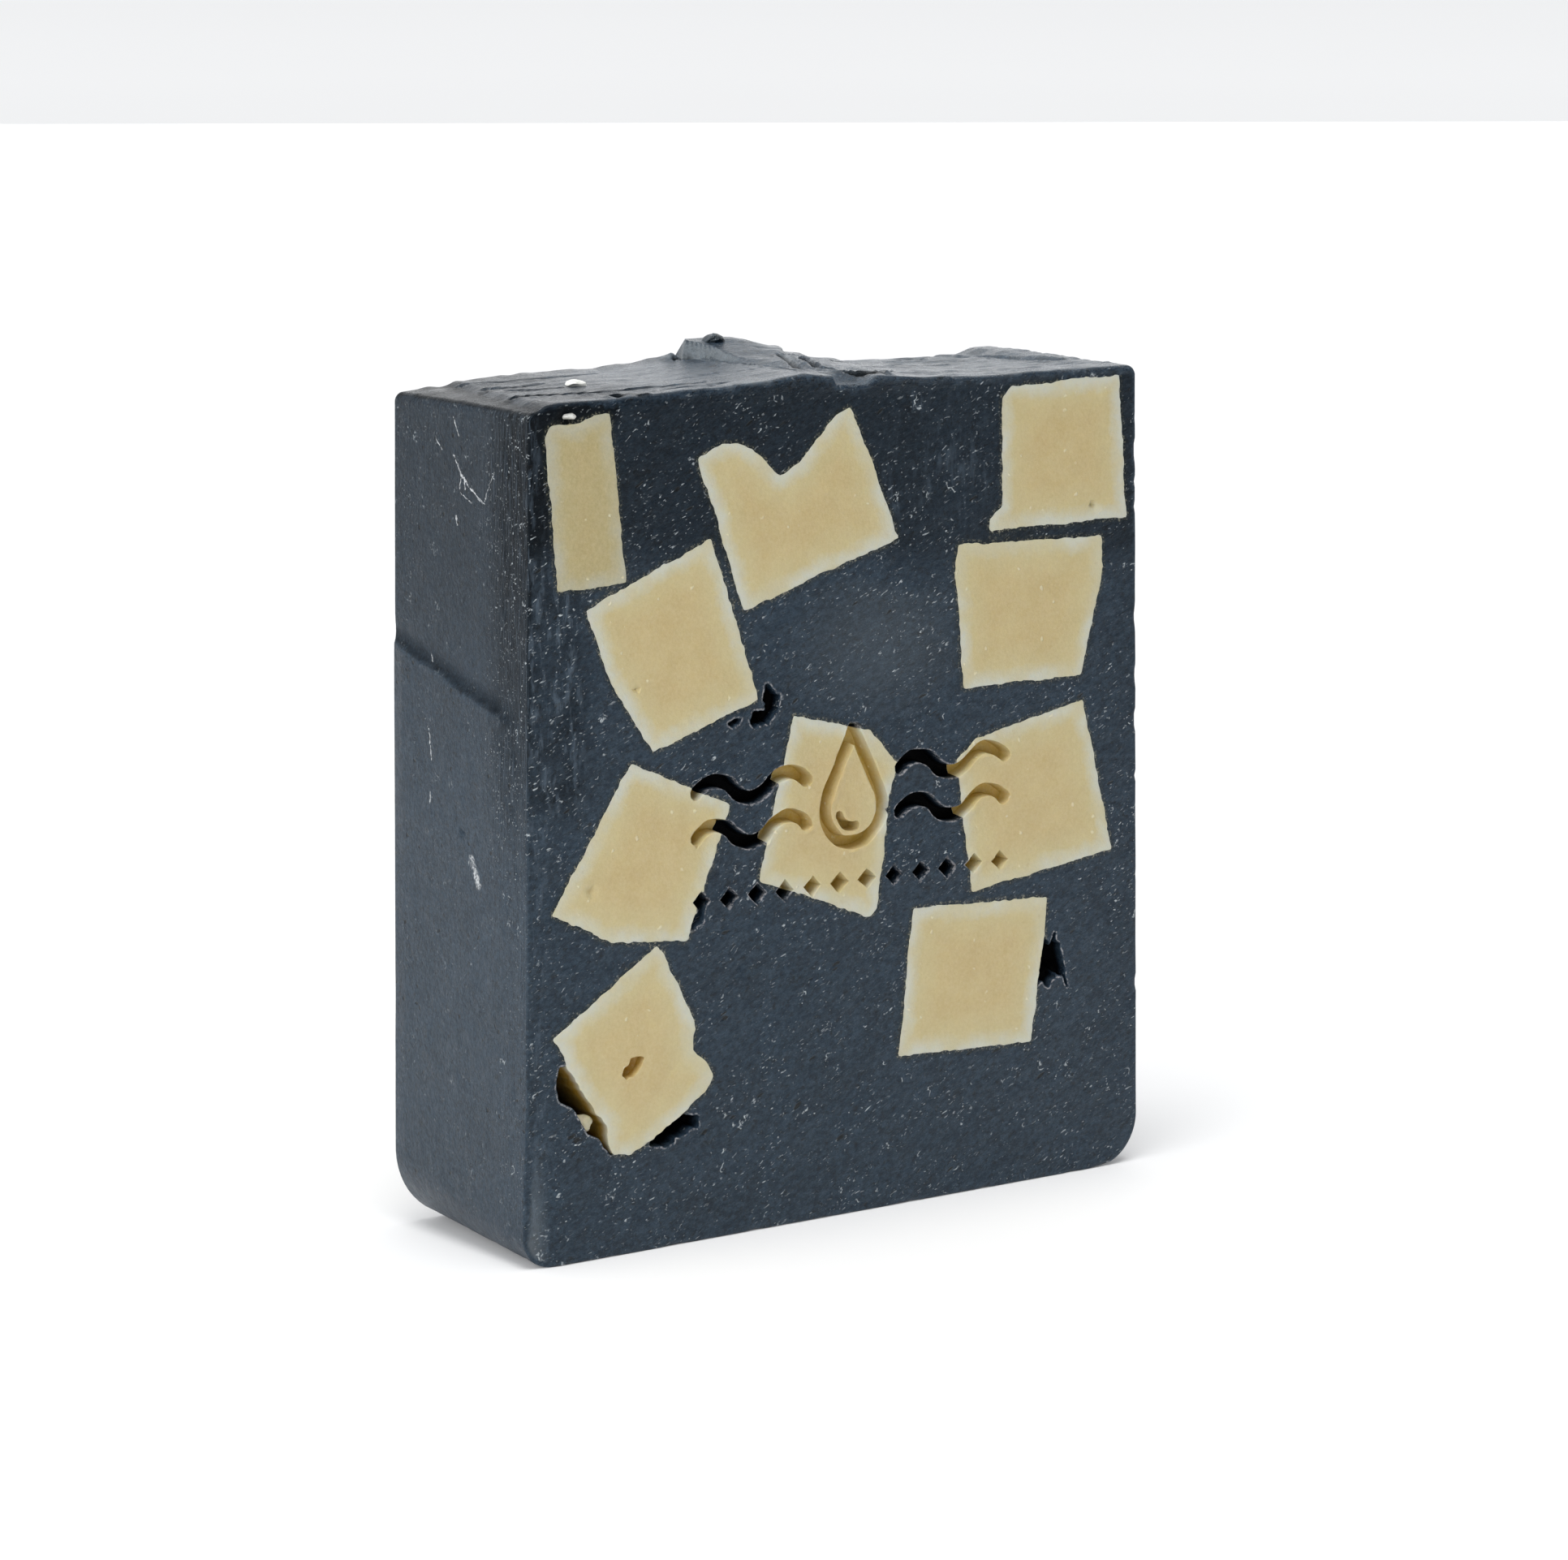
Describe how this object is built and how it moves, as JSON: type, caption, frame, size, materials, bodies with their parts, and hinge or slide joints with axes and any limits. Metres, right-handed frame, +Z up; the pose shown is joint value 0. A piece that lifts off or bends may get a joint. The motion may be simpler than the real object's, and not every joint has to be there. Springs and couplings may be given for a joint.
{
  "type": "charcoal soap bar with cream soap sticks",
  "caption": "Slice of handmade black charcoal soap with cream soap sticks set through it, cut flush on both faces, with a stamped water motif.",
  "frame": {"origin": "middle of the bottom of the bar's box, on the surface that the bar stands on", "axes": "+Z up along the bar's height, +X along its width, and -Y out of the stamped front face"},
  "size_m": [0.0658, 0.0206, 0.0755],
  "materials": {
    "charcoal_soap": "smooth waxy soap, satin on the cut faces and glossier towards the top",
    "cream_soap": "translucent waxy soap, satin, paler at its rims",
    "pale_crumb": "dull, chalky"
  },
  "bodies": {
    "root": {"charcoal_base": "charcoal_soap", "stick_top_left": "cream_soap", "stick_top_centre": "cream_soap", "stick_top_right": "cream_soap", "stick_upper_left": "cream_soap", "stick_upper_right": "cream_soap", "stick_mid_left": "cream_soap", "stick_centre": "cream_soap", "stick_mid_right": "cream_soap", "stick_lower_left": "cream_soap", "stick_lower_right": "cream_soap", "crumb_in_void": "cream_soap", "crumb_over_stick": "pale_crumb", "crumb_on_crest": "charcoal_soap", "crumb_on_top": "pale_crumb"}
  },
  "joints": []
}
